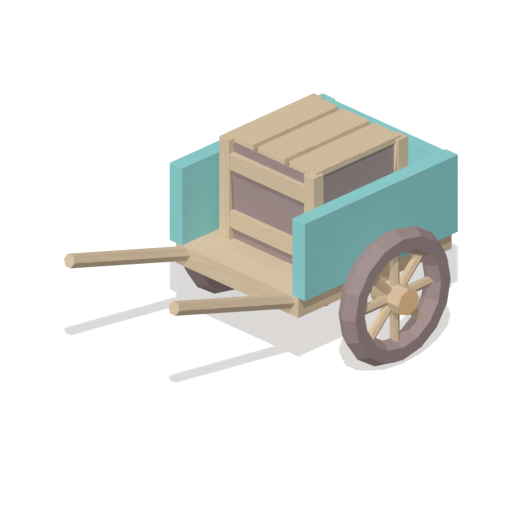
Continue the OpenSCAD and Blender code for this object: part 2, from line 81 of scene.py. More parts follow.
# Number of the log that a kind's first piece is sawn from, and the step to the next piece's log
LOGS = {
    "rails": (3, 1), "sills": (6, 2), "bearers": (10, 1), "floor": (13, 3), "side_boards": (21, 4),
    "tail_rails": (31, 1), "tail_stiles": (34, 1), "tail_panel": (37, 0), "shafts": (41, 5),
    "felloes_left": (55, 3), "felloes_right": (56, 3), "spokes_left": (85, 3), "spokes_right": (86, 3),
    "hubs": (111, 4), "hub_caps": (121, 4), "posts": (131, 3), "battens": (151, 3), "panels": (171, 1),
    "crate_floor": (181, 3), "lid_planks": (201, 3), "lid_cleats": (211, 1),
}
LOG_SHIFT = (0.61, 0.043, 0.031)  # Shift from one log to the next, along the grain and across it
LOG_ROWS = (5, 7)  # Logs after which the shifts across the grain start again
LOG_SHADES, SHADE_STEP = 11, 7

# How many times the marks in a finish repeat in a metre, along the grain and across it
DRIFT = (1.6, 7, 7)
FIBRE = (8, 420, 420)
BRUSH_MARKS = (5, 260, 260)
UNEVEN_COAT = (5, 11, 11)
WORN_PATCHES = (26, 60, 60)
HAMMER_MARKS = (90, 90, 90)
FORGE_SCALE = (340, 340, 340)
HEART_BESIDE, HEART_BELOW = 35 * MM, 85 * MM
TIMBER_RELIEF, PAINT_RELIEF, METAL_RELIEF = 0.12 * MM, 0.10 * MM, 0.15 * MM

FLOOR_SIZE = 60
CAMERA_DISTANCE = 6
SUN_DISTANCE = 4
SUN_WIDTH = math.radians(1)
EVEN_SHARE = 4  # A face gets a quarter of the light that comes evenly from all round
WHITE = (1, 1, 1, 1)


# ---------- sizes, colours and stage settings that a maker may change ----------

COLOUR = {"subtype": "COLOR", "size": 3, "min": 0, "max": 1}
ANGLE = {"subtype": "ANGLE", "unit": "ROTATION"}


class CartColours(bpy.types.PropertyGroup):
    timber: bpy.props.FloatVectorProperty(
        name="Timber", description="Pale timber of the bed, the shafts and the crate",
        default=(0.384, 0.307, 0.216), **COLOUR)
    timber_ring: bpy.props.FloatVectorProperty(
        name="Timber growth ring", description="Darker late wood of the pale timber",
        default=(0.336, 0.257, 0.169), **COLOUR)
    wheel_timber: bpy.props.FloatVectorProperty(
        name="Wheel timber", description="Warmer timber of the hubs and spokes",
        default=(0.349, 0.270, 0.184), **COLOUR)
    wheel_ring: bpy.props.FloatVectorProperty(
        name="Wheel timber growth ring", description="Darker late wood of the hubs and spokes",
        default=(0.313, 0.233, 0.149), **COLOUR)
    cap_timber: bpy.props.FloatVectorProperty(
        name="Hub cap timber", description="Orange timber of the caps over the hubs",
        default=(0.513, 0.333, 0.176), **COLOUR)
    cap_ring: bpy.props.FloatVectorProperty(
        name="Hub cap growth ring", description="Darker late wood of the hub caps",
        default=(0.466, 0.296, 0.149), **COLOUR)
    inner_timber: bpy.props.FloatVectorProperty(
        name="Inner timber", description="Brown timber of the pegs, bearers, cleats and crate floor",
        default=(0.286, 0.200, 0.127), **COLOUR)
    inner_ring: bpy.props.FloatVectorProperty(
        name="Inner timber growth ring", description="Darker late wood of the brown timber",
        default=(0.240, 0.160, 0.093), **COLOUR)
    teal: bpy.props.FloatVectorProperty(
        name="Blue-green paint", description="Paint of the side boards and the tailboard",
        default=(0.140, 0.336, 0.336), **COLOUR)
    mauve: bpy.props.FloatVectorProperty(
        name="Grey-mauve paint", description="Paint of the rims and the crate's panels",
        default=(0.186, 0.140, 0.139), **COLOUR)
    iron: bpy.props.FloatVectorProperty(
        name="Iron", description="Forged iron of the axle, the straps and the screws",
        default=(0.170, 0.162, 0.155), **COLOUR)
    bronze: bpy.props.FloatVectorProperty(
        name="Bronze", description="Bronze of the bushes in the hubs",
        default=(0.480, 0.310, 0.130), **COLOUR)


class CartSizes(bpy.types.PropertyGroup):
    board_edge: bpy.props.FloatProperty(
        name="Board edge", description="Width of the softened edges of the boards and the crate",
        default=1.5 * MM, min=0.2 * MM, max=6 * MM, unit="LENGTH")
    joint_edge: bpy.props.FloatProperty(
        name="Joint edge", description="Width of the softened edges where pieces meet flush",
        default=0.5 * MM, min=0.1 * MM, max=3 * MM, unit="LENGTH")
    wheel_edge: bpy.props.FloatProperty(
        name="Wheel edge", description="Width of the softened edges of the rims, spokes and hubs",
        default=1.0 * MM, min=0.2 * MM, max=4 * MM, unit="LENGTH")
    shaft_slope: bpy.props.FloatProperty(
        name="Shaft slope", description="Slope at which the shafts rise from the bed",
        default=math.radians(17.1), min=0, max=math.radians(30), **ANGLE)
    nut_pocket: bpy.props.FloatProperty(
        name="Nut pocket", description="Radius of the pocket for the axle nut in a hub's outer end",
        default=40 * MM, min=20 * MM, max=42 * MM, unit="LENGTH")
    floor_count: bpy.props.IntProperty(
        name="Floor boards", description="Number of boards in the floor of the bed",
        default=6, min=2, max=12)
    crate_floor_count: bpy.props.IntProperty(
        name="Crate floor boards", description="Number of boards in the floor of the crate",
        default=5, min=2, max=12)
    crate_floor_gap: bpy.props.FloatProperty(
        name="Crate floor gap", description="Gap between the boards of the crate's floor",
        default=3 * MM, min=0.5 * MM, max=8 * MM, unit="LENGTH")
    fit: bpy.props.FloatProperty(
        name="Fit", description="Gap between pieces that are housed in each other",
        default=0.1 * MM, min=0.05 * MM, max=1 * MM, unit="LENGTH")
    slide_clear: bpy.props.FloatProperty(
        name="Sliding clearance", description="Gap round the tailboard and the lid where they lift out",
        default=1 * MM, min=0.2 * MM, max=3 * MM, unit="LENGTH")
    tail_tongue: bpy.props.FloatProperty(
        name="Tailboard tongue", description="Depth of the tongue round the tailboard's panel",
        default=10 * MM, min=4 * MM, max=20 * MM, unit="LENGTH")
    ring_spacing: bpy.props.FloatProperty(
        name="Ring spacing", description="Distance between the timber's growth rings",
        default=7 * MM, min=2 * MM, max=20 * MM, unit="LENGTH")


class CartStage(bpy.types.PropertyGroup):
    azimuth: bpy.props.FloatProperty(
        name="View azimuth", description="Direction round the cart that the camera stands in",
        default=math.radians(135), **ANGLE)
    elevation: bpy.props.FloatProperty(
        name="View elevation", description="Height angle of the camera",
        default=math.radians(27), **ANGLE)
    view_width: bpy.props.FloatProperty(
        name="View width", description="Width of the parallel view",
        default=2.304, min=0.5, unit="LENGTH")
    aim: bpy.props.FloatVectorProperty(
        name="Aim", description="Point that the camera looks at, from the middle of the cart's box",
        subtype="XYZ", size=3, unit="LENGTH", default=(-0.0478, -0.0435, -0.0303))
    key_height: bpy.props.FloatProperty(
        name="Key height", description="Height angle of the light that casts the shadow",
        default=math.radians(48.2), **ANGLE)
    key_strength: bpy.props.FloatProperty(
        name="Key strength", description="Strength of the light that casts the shadow",
        default=2.45, min=0)
    tent_strength: bpy.props.FloatProperty(
        name="Tent strength", description="Strength of the even, shadowless light all round the cart",
        default=2.3, min=0)
    tent_lean: bpy.props.FloatVectorProperty(
        name="Tent lean", description="Side that the even light comes from more strongly",
        subtype="XYZ", size=3, default=(0.82, -0.36, 0.66))
    ambient: bpy.props.FloatProperty(
        name="Ambient", description="Strength of the light of the air round the stage",
        default=0.12, min=0)
    floor_paleness: bpy.props.FloatProperty(
        name="Floor", description="Paleness of the floor", default=0.62, min=0, max=1, subtype="FACTOR")
    floor_bounce: bpy.props.FloatProperty(
        name="Floor bounce", description="Share of its light that the floor throws back at the cart",
        default=0.07, min=0, max=1, subtype="FACTOR")


# ---------- modelling helpers ----------


def deselect():
    bpy.ops.object.select_all(action="DESELECT")


def activate(piece):
    deselect()
    piece.select_set(True)
    bpy.context.view_layer.objects.active = piece


def take_up(name):
    """Names the shape just added and puts its place into its mesh."""
    bpy.ops.object.transform_apply(location=True, rotation=True, scale=True)
    piece = bpy.context.active_object
    piece.name = piece.data.name = name
    return piece


def facing(along, corner):
    """Turn that points a shape's Z along the one direction and a corner of it to the other."""
    along = along.normalized()
    up = (corner - along * corner.dot(along)).normalized()
    return Matrix((up.cross(along), up, along)).transposed().to_euler()


def add_block(name, lo, hi):
    deselect()
    bpy.ops.mesh.primitive_cube_add(size=1, location=(lo + hi) / 2, scale=hi - lo)
    return take_up(name)


def add_bar(name, sides, radius, start, end, corner):
    """Many-sided bar from start to end, with a corner towards the given direction."""
    deselect()
    bpy.ops.mesh.primitive_cylinder_add(
        vertices=sides, radius=radius, depth=(end - start).length,
        location=(start + end) / 2, rotation=facing(end - start, corner))
    return take_up(name)


def cut(piece, cutter):
    """Takes the cutter's shape out of the piece."""
    cutting = piece.modifiers.new("Cut", "BOOLEAN")
    cutting.operation = "DIFFERENCE"
    cutting.solver = "EXACT"
    cutting.object = cutter
    activate(piece)
    bpy.ops.object.modifier_apply(modifier=cutting.name)
    activate(cutter)
    bpy.ops.object.delete()


def cut_block(piece, lo, hi):
    cut(piece, add_block("Cutter", lo, hi))


def cut_hole(piece, start, end, radius):
    cut(piece, add_bar("Cutter", CUTTER_SIDES, radius, start, end, X))


def cut_end(piece, point, direction):
    """Saws the piece off flat at a point, and throws away the side that direction points to."""
    activate(piece)
    bpy.ops.object.mode_set(mode="EDIT")
    bpy.ops.mesh.select_all(action="SELECT")
    bpy.ops.mesh.bisect(plane_co=point, plane_no=direction, use_fill=True, clear_outer=True)
    bpy.ops.object.mode_set(mode="OBJECT")


def soften(piece, width, finish):
    """Rounds every sharp edge. The rounded strips take the finish's second material, for handling."""
    for material in pair(finish):
        piece.data.materials.append(material)
    activate(piece)
    rounding = piece.modifiers.new("Soft edges", "BEVEL")
    rounding.width = width
    rounding.segments = 2
    rounding.limit_method = "ANGLE"
    rounding.angle_limit = math.radians(15)
    rounding.material = 1
    bpy.ops.object.modifier_apply(modifier=rounding.name)
    bpy.ops.object.shade_smooth()
    weighting = piece.modifiers.new("Flat faces", "WEIGHTED_NORMAL")
    weighting.weight = 80
    bpy.ops.object.modifier_apply(modifier=weighting.name)


def stored(piece, name, kind):
    attributes = piece.data.attributes
    return attributes.get(name) or attributes.new(name, kind, "POINT")


def lay_grain(piece, origin, along, kind, place=0):
    """Stores where each point lies in the log that the piece was sawn from, and the log's shade."""
    along = along.normalized()
    across = (Z if abs(along.z) < STEEP else Y).cross(along).normalized()
    through = along.cross(across)
    first, step = LOGS[kind]
    number = first + step * place
    rows = (number, number % LOG_ROWS[0], number % LOG_ROWS[1])
    log = Vector([shift * row for shift, row in zip(LOG_SHIFT, rows)])
    places = []
    for vertex in piece.data.vertices:
        d = vertex.co - origin
        places.extend(Vector((d.dot(along), d.dot(across), d.dot(through))) + log)
    stored(piece, "grain", "FLOAT_VECTOR").data.foreach_set("vector", places)
    shade = number * SHADE_STEP % LOG_SHADES / (LOG_SHADES - 1)
    stored(piece, "shade", "FLOAT").data.foreach_set("value", [shade] * len(piece.data.vertices))
    return piece


def copy_piece(piece, name, move):
    """A copy with its own mesh, moved in its mesh."""
    other = piece.copy()
    other.data = piece.data.copy()
    other.name = other.data.name = name
    bpy.context.collection.objects.link(other)
    other.data.transform(move)
    return other


def join(name, pieces):
    """Makes one object of pieces that share a frame node."""
    deselect()
    for piece in pieces:
        piece.select_set(True)
    bpy.context.view_layer.objects.active = pieces[0]
    bpy.ops.object.join()
    piece = bpy.context.active_object
    piece.name = piece.data.name = name
    return piece


def fix(piece, body, node):
    """Ties the finished piece to its body and hides the frame node that it stands for."""
    if not piece.data.polygons:
        raise RuntimeError(piece.name + " came out empty")
    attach(piece, body)
    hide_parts(node)


def board(node, name, along, kind, place, edge, finish, body, lo=None, hi=None, cuts=()):
    """A sawn board in the place of its frame node, with its housings cut out."""
    box_lo, box_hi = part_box(node)
    lo, hi = lo or box_lo, hi or box_hi
    piece = add_block(name, lo, hi)
    for cut_lo, cut_hi in cuts:
        cut_block(piece, cut_lo, cut_hi)
    soften(piece, edge, finish)
    lay_grain(piece, (lo + hi) / 2, along, kind, place)
    fix(piece, body, node)


def wheel_middle(side):
    lo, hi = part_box("felloes_" + side)
    return (lo + hi) / 2


def about_axle(angle):
    """Turn about the axle's line, from straight up towards the front."""
    lo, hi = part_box("axle_straps")
    rim_lo, rim_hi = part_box("felloes_left")
    middle = Vector(((lo.x + hi.x) / 2, 0, (rim_lo.z + rim_hi.z) / 2))
    return Matrix.Translation(middle) @ Matrix.Rotation(angle, 4, "Y") @ Matrix.Translation(-middle)


def rim_section():
    """Side of the rim's six-sided section, and the radius of the section's middle."""
    lo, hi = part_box("felloes_left")
    side_len = (hi.y - lo.y) / 2 / HEX_FLAT
    return side_len, (hi.z - lo.z) / 2 - side_len


def set_round(piece, name, node, reach, along):
    """Copies a piece of the left wheel to all its places in both wheels, and removes the first."""
    for side in SIDES:
        across = Matrix.Translation(wheel_middle(side) - wheel_middle("left"))
        copies = []
        for k in range(SPOKE_COUNT):
            radial = Quaternion(Y, k * SPOKE_STEP) @ Z
            copied = copy_piece(piece, piece.name + "_copy", across @ about_axle(k * SPOKE_STEP))
            origin = wheel_middle(side) + radial * reach
            copies.append(lay_grain(copied, origin, along(radial), f"{node}_{side}", k))
        fix(join(f"{name}_{side}", copies), "wheel_" + side, f"{node}_{side}")
    bpy.data.objects.remove(piece)


# ---------- finishes ----------


def make_group(name, inputs, outputs):
    """An empty shader node group with its named sockets."""
    tree = bpy.data.node_groups.new(name, "ShaderNodeTree")
    for socket, (kind, value) in inputs.items():
        made = tree.interface.new_socket(socket, in_out="INPUT", socket_type=kind)
        if value is not None:
            made.default_value = value
    for socket, kind in outputs.items():
        tree.interface.new_socket(socket, in_out="OUTPUT", socket_type=kind)
    return tree, tree.nodes.new("NodeGroupInput"), tree.nodes.new("NodeGroupOutput")


def plug(tree, value, socket):
    """Sets a socket, or links it when the value is another node's socket."""
    if isinstance(value, bpy.types.NodeSocket):
        tree.links.new(value, socket)
    else:
        socket.default_value = value


def calc(tree, operation, a, b=0.0, clamp=False):
    node = tree.nodes.new("ShaderNodeMath")
    node.operation = operation
    node.use_clamp = clamp
    plug(tree, a, node.inputs[0])
    plug(tree, b, node.inputs[1])
    return node.outputs[0]


def stretch(tree, place, scale):
    node = tree.nodes.new("ShaderNodeVectorMath")
    node.operation = "MULTIPLY"
    plug(tree, place, node.inputs[0])
    node.inputs[1].default_value = scale
    return node.outputs[0]


def noise(tree, place, detail=2.0, roughness=0.5):
    node = tree.nodes.new("ShaderNodeTexNoise")
    node.inputs["Scale"].default_value = 1
    node.inputs["Detail"].default_value = detail
    node.inputs["Roughness"].default_value = roughness
    plug(tree, place, node.inputs["Vector"])
    return node.outputs["Fac"]


def blend_colour(tree, amount, a, b):
    node = tree.nodes.new("ShaderNodeMix")
    node.data_type = "RGBA"
    plug(tree, amount, node.inputs[0])
    plug(tree, a, node.inputs[6])
    plug(tree, b, node.inputs[7])
    return node.outputs[2]


def brighten(tree, colour, amount):
    node = tree.nodes.new("ShaderNodeVectorMath")
    node.operation = "SCALE"
    plug(tree, colour, node.inputs[0])
    plug(tree, amount, node.inputs["Scale"])
    return node.outputs[0]


def around(tree, value, spread, middle=1.0):
    """Turns a value from 0 to 1 into one that swings about the middle by the spread."""
    swing = calc(tree, "MULTIPLY", calc(tree, "SUBTRACT", value, 0.5), spread)
    return calc(tree, "ADD", swing, middle)


def timber_figure_group():
    """Growth rings round a heart beside the board, with fine fibres along it."""
    tree, given, made = make_group(
        "Timber Figure",
        {"Place": ("NodeSocketVector", None), "Shade": ("NodeSocketFloat", 0.5),
         "Early Wood": ("NodeSocketColor", None), "Late Wood": ("NodeSocketColor", None),
         "Ring Spacing": ("NodeSocketFloat", 0.007)},
        {"Color": "NodeSocketColor", "Roughness": "NodeSocketFloat", "Height": "NodeSocketFloat"})
    place = given.outputs["Place"]
    drift = noise(tree, stretch(tree, place, DRIFT))
    apart = tree.nodes.new("ShaderNodeSeparateXYZ")
    plug(tree, place, apart.inputs[0])
    beside = calc(tree, "ADD", apart.outputs[1], HEART_BESIDE)
    below = calc(tree, "SUBTRACT", apart.outputs[2], HEART_BELOW)
    radius = calc(tree, "SQRT", calc(
        tree, "ADD", calc(tree, "MULTIPLY", beside, beside), calc(tree, "MULTIPLY", below, below)))
    wander = around(tree, drift, spread=0.035, middle=0)
    turn = calc(tree, "DIVIDE", calc(tree, "ADD", radius, wander), given.outputs["Ring Spacing"])
    ring = calc(tree, "POWER", calc(tree, "FRACT", turn), 3)
    fibre = noise(tree, stretch(tree, place, FIBRE), detail=4, roughness=0.65)
    strands = around(tree, fibre, spread=1.5, middle=0.2)
    late = calc(tree, "ADD", calc(tree, "MULTIPLY", ring, 0.6), strands, clamp=True)
    colour = blend_colour(tree, late, given.outputs["Early Wood"], given.outputs["Late Wood"])
    tone = calc(tree, "ADD", around(tree, given.outputs["Shade"], spread=0.035),
                around(tree, drift, spread=0.07, middle=0))
    plug(tree, brighten(tree, colour, tone), made.inputs["Color"])
    plug(tree, around(tree, fibre, spread=0.2, middle=0.66), made.inputs["Roughness"])
    plug(tree, calc(tree, "ADD", calc(tree, "MULTIPLY", ring, 0.3), fibre), made.inputs["Height"])


def brushed_paint_group():
    """Paint with brush marks along the board and a slightly uneven coat."""
    tree, given, made = make_group(
        "Brushed Paint",
        {"Place": ("NodeSocketVector", None), "Shade": ("NodeSocketFloat", 0.5),
         "Paint": ("NodeSocketColor", None)},
        {"Color": "NodeSocketColor", "Roughness": "NodeSocketFloat", "Height": "NodeSocketFloat"})
    place = given.outputs["Place"]
    marks = noise(tree, stretch(tree, place, BRUSH_MARKS), detail=4, roughness=0.65)
    coat = noise(tree, stretch(tree, place, UNEVEN_COAT))
    tone = calc(tree, "ADD", around(tree, marks, spread=0.2), around(tree, coat, spread=0.07, middle=0))
    tone = calc(tree, "ADD", tone, around(tree, given.outputs["Shade"], spread=0.025, middle=0))
    plug(tree, brighten(tree, given.outputs["Paint"], tone), made.inputs["Color"])
    plug(tree, around(tree, coat, spread=0.2, middle=0.66), made.inputs["Roughness"])
    plug(tree, marks, made.inputs["Height"])


def worn_edge_group():
    """Patches rubbed bare along an edge."""
    tree, given, made = make_group(
        "Worn Edge",
        {"Place": ("NodeSocketVector", None), "Color": ("NodeSocketColor", None),
         "Bare": ("NodeSocketColor", None), "Wear": ("NodeSocketFloat", 0.5)},
        {"Color": "NodeSocketColor", "Mask": "NodeSocketFloat"})
    patches = noise(tree, stretch(tree, given.outputs["Place"], WORN_PATCHES), detail=4, roughness=0.65)
    reach = calc(tree, "ADD", calc(tree, "SUBTRACT", patches, 1), given.outputs["Wear"])
    mask = calc(tree, "MULTIPLY", reach, 9, clamp=True)
    colour = blend_colour(tree, mask, given.outputs["Color"], given.outputs["Bare"])
    plug(tree, colour, made.inputs["Color"])
    plug(tree, mask, made.inputs["Mask"])


def forged_metal_group():
    """Metal with hammered hollows and darker scale."""
    tree, given, made = make_group(
        "Forged Metal",
        {"Place": ("NodeSocketVector", None), "Metal": ("NodeSocketColor", None)},
        {"Color": "NodeSocketColor", "Roughness": "NodeSocketFloat", "Height": "NodeSocketFloat"})
    hollows = noise(tree, stretch(tree, given.outputs["Place"], HAMMER_MARKS), detail=1)
    scale = noise(tree, stretch(tree, given.outputs["Place"], FORGE_SCALE), detail=4, roughness=0.7)
    tone = calc(tree, "ADD", around(tree, scale, spread=0.5), around(tree, hollows, spread=0.3, middle=0))
    plug(tree, brighten(tree, given.outputs["Metal"], tone), made.inputs["Color"])
    plug(tree, around(tree, scale, spread=0.35, middle=0.5), made.inputs["Roughness"])
    plug(tree, calc(tree, "ADD", hollows, calc(tree, "MULTIPLY", scale, 0.2)), made.inputs["Height"])


def rgba(colour):
    return (*colour, 1)


def group_node(tree, group, **values):
    node = tree.nodes.new("ShaderNodeGroup")
    node.node_tree = bpy.data.node_groups[group]
    for socket, value in values.items():
        plug(tree, value, node.inputs[socket.replace("_", " ")])
    return node


def stored_place(tree):
    """The grain and shade that a piece of timber carries."""
    place = tree.nodes.new("ShaderNodeAttribute")
    place.attribute_name = "grain"
    shade = tree.nodes.new("ShaderNodeAttribute")
    shade.attribute_name = "shade"
    return place.outputs["Vector"], shade.outputs["Fac"]


def object_place(tree):
    place = tree.nodes.new("ShaderNodeTexCoord")
    return place.outputs["Object"]


def start_material(name, metallic=0.0, gloss=0.2):
    finish = bpy.data.materials.new(name)
    finish.use_nodes = True
    tree = finish.node_tree
    shader = tree.nodes["Principled BSDF"]
    shader.inputs["Metallic"].default_value = metallic
    shader.inputs["Specular IOR Level"].default_value = gloss
    return tree, shader


def finish_material(tree, shader, colour, roughness, height, depth):
    plug(tree, colour, shader.inputs["Base Color"])
    plug(tree, roughness, shader.inputs["Roughness"])
    relief = tree.nodes.new("ShaderNodeBump")
    relief.inputs["Strength"].default_value = 1
    relief.inputs["Distance"].default_value = depth
    plug(tree, height, relief.inputs["Height"])
    plug(tree, relief.outputs["Normal"], shader.inputs["Normal"])


def timber_material(name, early, late, worn=None, carried=True):
    tree, shader = start_material(name)
    if carried:
        place, shade = stored_place(tree)
    else:
        place, shade = object_place(tree), 0.5
    figure = group_node(
        tree, "Timber Figure", Place=place, Shade=shade, Early_Wood=rgba(early), Late_Wood=rgba(late),
        Ring_Spacing=bpy.context.scene.cart_sizes.ring_spacing)
    colour = figure.outputs["Color"]
    if worn:
        edge = group_node(tree, "Worn Edge", Place=place, Color=colour, Bare=rgba(worn), Wear=0.55)
        colour = edge.outputs["Color"]
    finish_material(tree, shader, colour, figure.outputs["Roughness"], figure.outputs["Height"],
                    TIMBER_RELIEF)


def paint_material(name, paint, worn=None):
    tree, shader = start_material(name)
    place, shade = stored_place(tree)
    coat = group_node(tree, "Brushed Paint", Place=place, Shade=shade, Paint=rgba(paint))
    colour = coat.outputs["Color"]
    if worn:
        edge = group_node(tree, "Worn Edge", Place=place, Color=colour, Bare=rgba(worn), Wear=0.5)
        colour = edge.outputs["Color"]
    finish_material(tree, shader, colour, coat.outputs["Roughness"], coat.outputs["Height"], PAINT_RELIEF)


def metal_material(name, metal):
    tree, shader = start_material(name, metallic=0.85, gloss=0.5)
    skin = group_node(tree, "Forged Metal", Place=object_place(tree), Metal=rgba(metal))
    finish_material(
        tree, shader, skin.outputs["Color"], skin.outputs["Roughness"], skin.outputs["Height"],
        METAL_RELIEF)


def lighter(colour, amount):
    return tuple(c * amount for c in colour)


def make_finishes():
    """The timbers and paints, each a pair for the flat faces and the rubbed edges, and the hardware."""
    timber_figure_group()
    brushed_paint_group()
    worn_edge_group()
    forged_metal_group()
    c = bpy.context.scene.cart_colours
    timbers = {
        "Pale_timber": (c.timber, c.timber_ring),
        "Wheel_timber": (c.wheel_timber, c.wheel_ring),
        "Cap_timber": (c.cap_timber, c.cap_ring),
        "Inner_timber": (c.inner_timber, c.inner_ring),
    }
    for name, (early, late) in timbers.items():
        timber_material(name, early, late)
        timber_material(name + "_edge", lighter(early, 1.05), early, lighter(late, 0.92))
    paint_material("Teal_paint", c.teal)
    paint_material("Teal_paint_edge", lighter(c.teal, 1.08), c.timber)
    paint_material("Mauve_paint", c.mauve)
    paint_material("Mauve_paint_edge", c.mauve, c.inner_timber)
    timber_material("Peg_timber", c.inner_timber, c.inner_ring, carried=False)
    metal_material("Forged_iron", c.iron)
    metal_material("Turned_bronze", c.bronze)


def pair(name):
    return bpy.data.materials[name], bpy.data.materials[name + "_edge"]


# ---------- operators ----------


class HANDCART_OT_finishes(bpy.types.Operator):
    """Makes the timber, paint and metal finishes"""
    bl_idname = "handcart.finishes"
    bl_label = "Finishes"

    def execute(self, context):
        make_finishes()
        return {"FINISHED"}


class HANDCART_OT_bed_frame(bpy.types.Operator):
    """Builds the two rails, the two sills and the three bearers of the bed"""
    bl_idname = "handcart.bed_frame"
    bl_label = "Bed frame"

    def execute(self, context):
        sizes = context.scene.cart_sizes
        front_x, rear_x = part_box("front_rail")[0].x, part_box("rear_rail")[1].x
        peg_lo, peg_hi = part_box("frame_pegs")
        shaft_peg_lo, shaft_peg_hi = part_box("shaft_pegs")
        radius = (shaft_peg_hi.x - shaft_peg_lo.x) / 2
        holes = {
            "front_rail": [(peg_hi.x - radius, peg_hi), (shaft_peg_hi.x - radius, shaft_peg_hi)],
            "rear_rail": [(peg_lo.x + radius, peg_hi)],
        }
        for number, node in enumerate(holes):
            lo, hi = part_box(node)
            rail = add_block(node.capitalize() + "_beam", lo, hi)
            for x, peg in holes[node]:
                for side in SIDES.values():
                    foot = Vector((x, side * (peg.y - radius), lo.z))
                    cut_hole(rail, foot - Z * radius, Vector((foot.x, foot.y, peg.z)), radius + sizes.fit)
            soften(rail, sizes.joint_edge, "Pale_timber")
            lay_grain(rail, (lo + hi) / 2, Y, "rails", number)
            fix(rail, "cart", node)
        for number, side in enumerate(SIDES):
            lo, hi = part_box("sill_" + side)
            lo.x, hi.x = rear_x, front_x
            board("sill_" + side, "Sill_beam_" + side, X, "sills", number,
                  sizes.joint_edge, "Pale_timber", "cart", lo, hi)
        inner_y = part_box("floor_boards")[1].y
        for number, place in enumerate(("front", "mid", "rear")):
            lo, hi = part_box("bearer_" + place)
            lo.y, hi.y = -inner_y, inner_y
            board("bearer_" + place, "Bearer_beam_" + place, Y, "bearers", number,
                  sizes.board_edge, "Inner_timber", "cart", lo, hi)
        return {"FINISHED"}


class HANDCART_OT_bed_floor(bpy.types.Operator):
    """Lays the floor boards between the sills"""
    bl_idname = "handcart.bed_floor"
    bl_label = "Bed floor"

    def execute(self, context):
        sizes = context.scene.cart_sizes
        lo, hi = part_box("floor_boards")
        step = (hi.y - lo.y + 2 * sizes.fit) / sizes.floor_count
        boards = []
        for k in range(sizes.floor_count):
            low = Vector((lo.x, lo.y + k * step, lo.z))
            high = Vector((hi.x, lo.y + (k + 1) * step - 2 * sizes.fit, hi.z))
            plank = add_block("Floor_board", low, high)
            soften(plank, sizes.joint_edge, "Pale_timber")
            boards.append(lay_grain(plank, (low + high) / 2, X, "floor", k))
        fix(join("Floor_board_set", boards), "cart", "floor_boards")
        return {"FINISHED"}


class HANDCART_OT_side_boards(bpy.types.Operator):
    """Builds the two side boards with their grooves for the tailboard"""
    bl_idname = "handcart.side_boards"
    bl_label = "Side boards"

    def execute(self, context):
        sizes = context.scene.cart_sizes
        tail_lo, tail_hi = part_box("tail_rail_top")
        for name, side in SIDES.items():
            lo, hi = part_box("side_board_" + name)
            inner = lo.y if side > 0 else hi.y
            bottom = side * (tail_hi.y + sizes.slide_clear)
            past = inner - side * sizes.slide_clear
            groove = (
                Vector((tail_lo.x - sizes.slide_clear, min(past, bottom), lo.z - sizes.slide_clear)),
                Vector((tail_hi.x + sizes.slide_clear, max(past, bottom), hi.z + sizes.slide_clear)))
            board("side_board_" + name, "Side_board_plank_" + name, X, "side_boards", side,
                  sizes.board_edge, "Teal_paint", "cart", cuts=(groove,))
        return {"FINISHED"}


class HANDCART_OT_tailboard(bpy.types.Operator):
    """Builds the framed tailboard that lifts out"""
    bl_idname = "handcart.tailboard"
    bl_label = "Tailboard"

    def execute(self, context):
        sizes = context.scene.cart_sizes
        low_rail, high_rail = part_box("tail_rail_low"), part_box("tail_rail_top")
        for number, place in enumerate(("low", "top")):
            board("tail_rail_" + place, "Tail_rail_bar_" + place, Y, "tail_rails", number,
                  sizes.joint_edge, "Teal_paint", "tailboard")
        for number, name in enumerate(SIDES):
            lo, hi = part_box("tail_stile_" + name)
            lo.z, hi.z = low_rail[1].z, high_rail[0].z
            board("tail_stile_" + name, "Tail_stile_bar_" + name, Z, "tail_stiles", number,
                  sizes.joint_edge, "Teal_paint", "tailboard", lo, hi)
        lo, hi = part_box("tail_panel")
        for axis in (1, 2):
            lo[axis] += sizes.tail_tongue
            hi[axis] -= sizes.tail_tongue
        board("tail_panel", "Tail_panel_board", Y, "tail_panel", 0,
              sizes.joint_edge, "Teal_paint", "tailboard", lo, hi)
        return {"FINISHED"}


class HANDCART_OT_shafts(bpy.types.Operator):
    """Builds the two six-sided shafts that rise from the front rail"""
    bl_idname = "handcart.shafts"
    bl_label = "Shafts"

    def execute(self, context):
        sizes = context.scene.cart_sizes
        rail_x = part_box("front_rail")[1].x
        for number, name in enumerate(SIDES):
            lo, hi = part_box("shaft_" + name)
            radius = (hi.y - lo.y) / 2
            flat = radius * HEX_FLAT
            along = Vector((math.cos(sizes.shaft_slope), 0, math.sin(sizes.shaft_slope)))
            up = Vector((-along.z, 0, along.x))
            tip = Vector((hi.x, (lo.y + hi.y) / 2, hi.z)) - Vector((flat * along.z, 0, flat * along.x))
            root = tip - along * (hi.x - rail_x + 2 * radius)
            shaft = add_bar("Shaft_bar_" + name, HEX, radius, root, tip, Y)
            cut_end(shaft, Vector((rail_x, tip.y, tip.z)), -X)
            soften(shaft, sizes.wheel_edge, "Pale_timber")
            lay_grain(shaft, tip - up * radius, along, "shafts", number)
            fix(shaft, "cart", "shaft_" + name)
        return {"FINISHED"}


